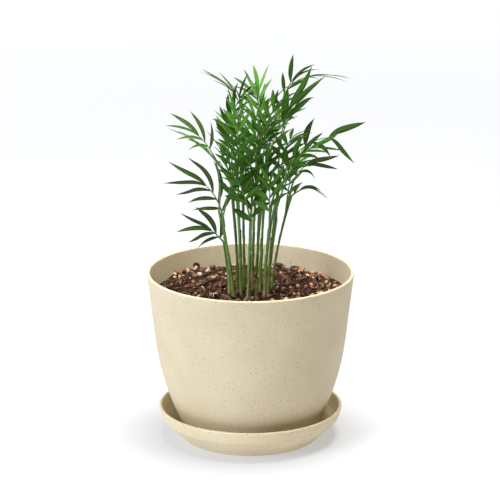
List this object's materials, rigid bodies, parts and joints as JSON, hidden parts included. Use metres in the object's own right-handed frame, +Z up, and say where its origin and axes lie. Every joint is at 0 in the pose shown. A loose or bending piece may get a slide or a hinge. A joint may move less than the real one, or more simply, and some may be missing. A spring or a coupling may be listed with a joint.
{
  "type": "potted palm",
  "caption": "Young parlour palm: a clump of slender green stems with feathery fronds, in a tapered speckled fibre pot on a matching saucer.",
  "frame": {"origin": "centre of the saucer's underside, on the surface that it stands on", "axes": "+Z up; the side seen in the usual front view faces -Y, with +X to its right"},
  "size_m": [0.2085, 0.1996, 0.3806],
  "materials": {
    "saucer": "satin",
    "pot": "satin",
    "soil": "matte",
    "stem": "satin",
    "leaf": "satin"
  },
  "bodies": {
    "root": {"saucer": "saucer", "pot": "pot", "soil": "soil", "stem_01": "stem", "stem_02": "stem", "stem_03": "stem", "stem_04": "stem", "stem_05": "stem", "stem_06": "stem", "stem_07": "stem", "stem_08": "stem", "stem_09": "stem", "stem_10": "stem", "stem_11": "stem", "stem_12": "stem", "frond_01": "leaf", "frond_02": "leaf", "frond_03": "leaf", "frond_04": "leaf", "frond_05": "leaf", "frond_06": "leaf", "frond_07": "leaf", "frond_08": "leaf", "frond_09": "leaf", "frond_10": "leaf", "frond_11": "leaf", "frond_12": "leaf", "frond_13": "leaf", "frond_14": "leaf", "frond_15": "leaf", "frond_16": "leaf", "frond_17": "leaf", "frond_18": "leaf", "frond_19": "leaf", "frond_20": "leaf", "frond_21": "leaf", "frond_22": "leaf", "frond_23": "leaf", "frond_24": "leaf", "frond_25": "leaf", "frond_26": "leaf", "frond_27": "leaf", "frond_28": "leaf", "frond_29": "leaf", "frond_30": "leaf", "frond_31": "leaf", "frond_32": "leaf", "frond_33": "leaf", "frond_34": "leaf", "frond_35": "leaf", "frond_36": "leaf", "frond_37": "leaf", "frond_38": "leaf"}
  },
  "joints": []
}
